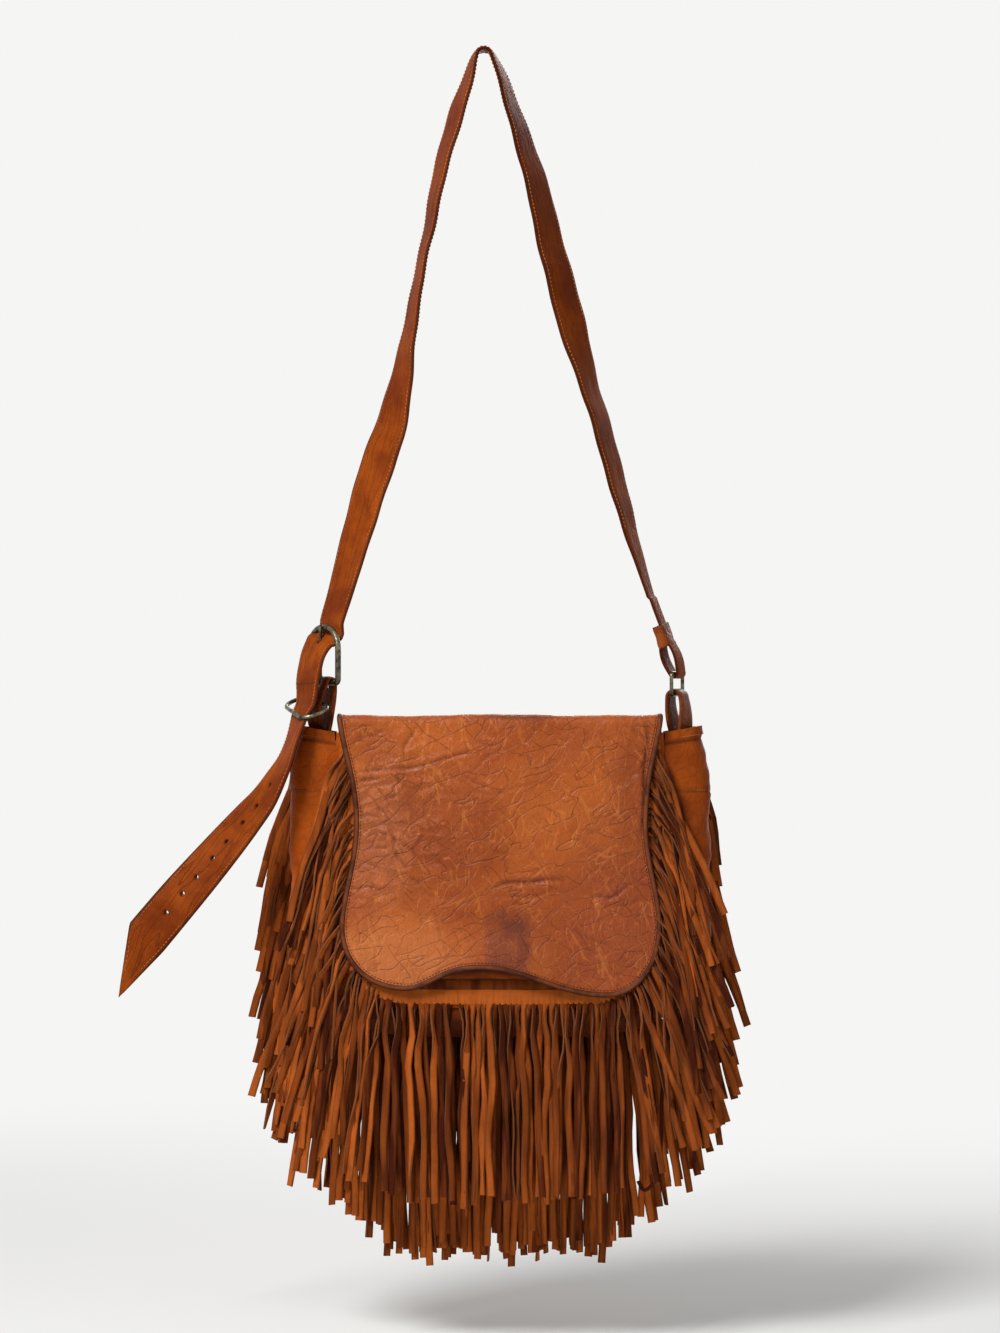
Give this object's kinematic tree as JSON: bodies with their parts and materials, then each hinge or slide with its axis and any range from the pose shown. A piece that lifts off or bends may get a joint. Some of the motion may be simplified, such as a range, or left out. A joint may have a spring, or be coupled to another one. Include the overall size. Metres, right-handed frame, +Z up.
{
  "type": "fringed suede bag",
  "caption": "Soft shoulder bag with a shaped flap, cut suede fringe round its edge and a long buckled strap, hanging by the strap.",
  "frame": {"origin": "underside of the strap's bend, the point that the bag hangs from", "axes": "+Z up, +X to the right of the bag's front, -Y out of the bag's front"},
  "size_m": [0.565, 0.0821, 1.1031],
  "materials": {
    "flap_leather": "smooth, creased, satin",
    "body_leather": "soft, satin",
    "strap_leather": "satin, stitched edge",
    "suede": "matte nap",
    "lining": "matte flesh side",
    "edge_binding": "dark, worn",
    "aged_brass": "aged, worn bright on its edges"
  },
  "bodies": {
    "bag": {"front_panel": "body_leather", "back_panel": "body_leather", "gusset": "body_leather", "front_fringe_left": "suede", "front_fringe_right": "suede", "back_fringe": "suede", "snap_socket": "aged_brass", "left_tab": "strap_leather", "right_tab": "strap_leather", "buckle_frame": "aged_brass", "strap": "strap_leather", "strap_wrap": "strap_leather"},
    "flap": {"flap_leather": "flap_leather", "flap_lining": "lining", "flap_binding": "edge_binding", "snap_stud": "aged_brass"},
    "prong": {"buckle_prong": "aged_brass"},
    "keeper": {"keeper_loop": "aged_brass"},
    "ring": {"ring": "aged_brass"}
  },
  "joints": [
    {"name": "flap_hinge", "type": "hinge", "parent": "bag", "child": "flap", "pos_m": [0.0144, 0.0233, -0.6072], "axis": [-1, 0, 0], "range_deg": [0, 90]},
    {"name": "prong_pivot", "type": "hinge", "parent": "bag", "child": "prong", "pos_m": [-0.1453, 0, -0.5724], "axis": [0.5592, -0.829, 0], "range_deg": [0, 4]},
    {"name": "keeper_slide", "type": "slide", "parent": "bag", "child": "keeper", "axis": [0, 0, 1], "range_m": [-0.0015, 0.0015]},
    {"name": "ring_swing", "type": "hinge", "parent": "bag", "child": "ring", "pos_m": [0.175, 0, -0.56355], "axis": [-0.342, -0.9397, 0], "range_deg": [-2.5, 2.5]}
  ]
}
